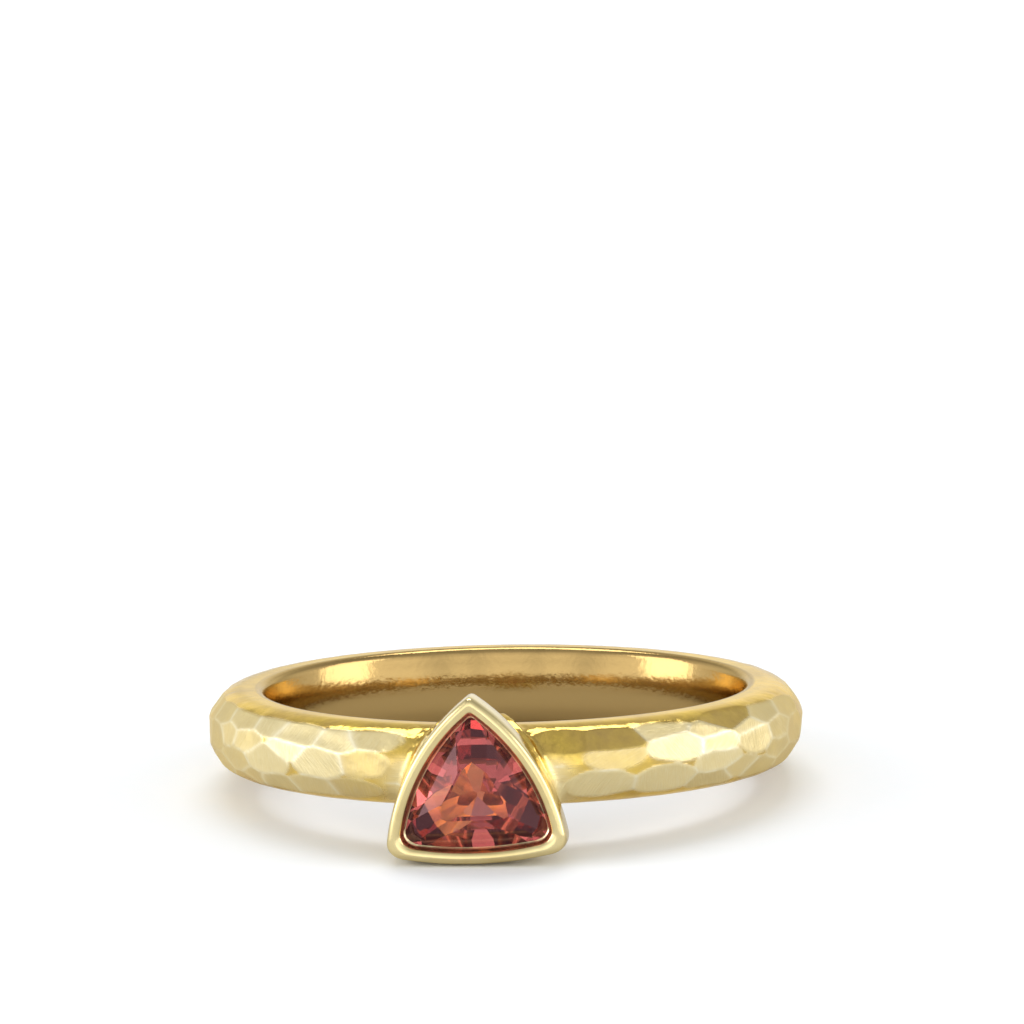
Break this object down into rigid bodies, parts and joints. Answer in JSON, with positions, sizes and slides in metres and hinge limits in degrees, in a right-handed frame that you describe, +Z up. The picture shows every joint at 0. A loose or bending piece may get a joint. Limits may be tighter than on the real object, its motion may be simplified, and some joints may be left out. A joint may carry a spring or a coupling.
{
  "type": "gold ring with a trillion garnet",
  "caption": "Hammered yellow gold finger ring with a faceted trillion garnet held point up in a closed cup setting.",
  "frame": {"origin": "centre of the ring's bounding box, at the level of the surface that it lies on", "axes": "+Z up from the surface that the ring lies on; -Y is the way the setting faces; +X to the right as seen from the front. The finger hole's axis leans 4.87 degrees from +Z towards +Y, because the ring rests on the foot of its setting and the far side of its band"},
  "size_m": [0.0214, 0.023, 0.006],
  "materials": {
    "gold": "yellow gold, brushed hammer marks on the band's dome and polished elsewhere",
    "garnet": "polished transparent red garnet"
  },
  "bodies": {
    "root": {"band_and_setting": "gold", "garnet": "garnet"}
  },
  "joints": []
}
